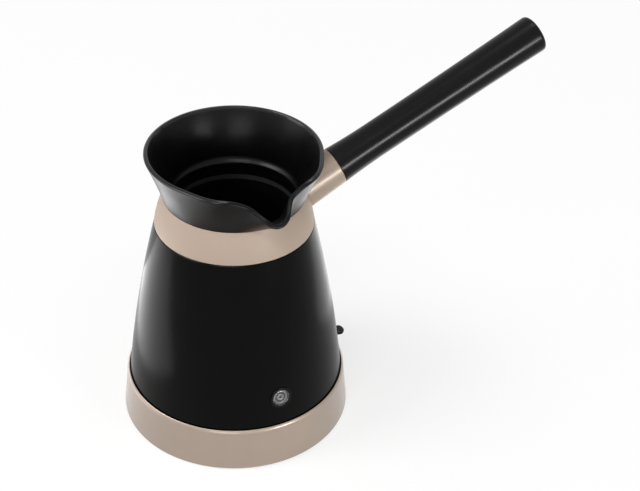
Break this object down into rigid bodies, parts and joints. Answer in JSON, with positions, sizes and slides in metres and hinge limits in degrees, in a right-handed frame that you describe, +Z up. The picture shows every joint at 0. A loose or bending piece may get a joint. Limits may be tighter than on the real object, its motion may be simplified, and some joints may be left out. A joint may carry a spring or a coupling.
{
  "type": "electric turkish coffee maker",
  "caption": "Cordless electric Turkish coffee pot: conical body with spouted funnel and long handle, standing on a round power base.",
  "frame": {"origin": "on the table plane, on the axis of the pot and its base", "axes": "+Z up along the pot axis, +X towards the handle, -Y towards the spout and the pilot lamp"},
  "size_m": [0.2366, 0.1209, 0.1909],
  "materials": {
    "champagne_ring": "metallised champagne, satin",
    "champagne_ferrule": "metallised champagne, satin",
    "black_shell": "satin gloss black",
    "black_gloss": "glossy black",
    "black_moulding": "fine matt black",
    "control_moulding": "matt dark grey",
    "rubber_foot": "soft matt",
    "screw_steel": "zinc plated",
    "contact_brass": "bright",
    "chamber_coating": "smooth black non-stick coating over steel",
    "silicone": "soft black silicone",
    "heater_aluminium": "die cast",
    "element_sheath": "heat tinted",
    "lamp_lens": "clear",
    "lamp_bulb": "clear",
    "lead_sleeve": "soft"
  },
  "bodies": {
    "power_base": {"base_cover": "champagne_ring", "base_plate": "black_moulding", "base_feet": "rubber_foot", "base_screws": "screw_steel", "base_coupler": "black_moulding", "coupler_contacts": "contact_brass", "cord_bushing": "black_moulding", "cord_clamp": "black_moulding", "clamp_screws": "screw_steel"},
    "earth_pin": {"earth_pin": "contact_brass"},
    "pot": {"coupler_rings": "contact_brass", "control_housing": "control_moulding", "control_screws": "screw_steel", "body_base": "black_moulding", "body_base_screws": "screw_steel", "body_shell": "black_shell", "collar_ring": "champagne_ring", "funnel_rim": "black_gloss", "inner_pot": "chamber_coating", "pot_gasket": "silicone", "heater_plate": "heater_aluminium", "heating_element": "element_sheath", "bimetal_disc": "contact_brass", "thermal_fuse": "screw_steel", "indicator_bezel": "black_gloss", "indicator_lens": "lamp_lens", "indicator_lamp": "lamp_bulb", "lamp_leads": "lead_sleeve", "handle_ferrule": "champagne_ferrule", "handle_insert": "contact_brass", "handle_bolt": "screw_steel", "handle_grip": "black_gloss", "handle_end_cap": "black_gloss", "switch_pin": "screw_steel", "switch_bracket": "control_moulding"},
    "switch_lever": {"switch_lever": "black_gloss"},
    "trip_plunger": {"trip_plunger": "black_moulding"}
  },
  "joints": [
    {"name": "pot_lift", "type": "slide", "parent": "power_base", "child": "earth_pin", "axis": [0, 0, 1], "range_m": [0, 0.06]},
    {"name": "pot_turn", "type": "hinge", "parent": "earth_pin", "child": "pot", "pos_m": [0, 0, 0.02], "axis": [0, 0, 1], "continuous": true},
    {"name": "switch_rock", "type": "hinge", "parent": "pot", "child": "switch_lever", "pos_m": [0.04187, -0.0033, 0.02827], "axis": [-0.0785, -0.9969, 0], "range_deg": [0, 10]},
    {"name": "trip_plunger_slide", "type": "slide", "parent": "pot", "child": "trip_plunger", "axis": [0, 0, -1], "range_m": [0, 0.0022]}
  ],
  "couplings": [
    {"joint": "trip_plunger_slide", "follows": "switch_rock", "m_per_rad": 0.012}
  ]
}
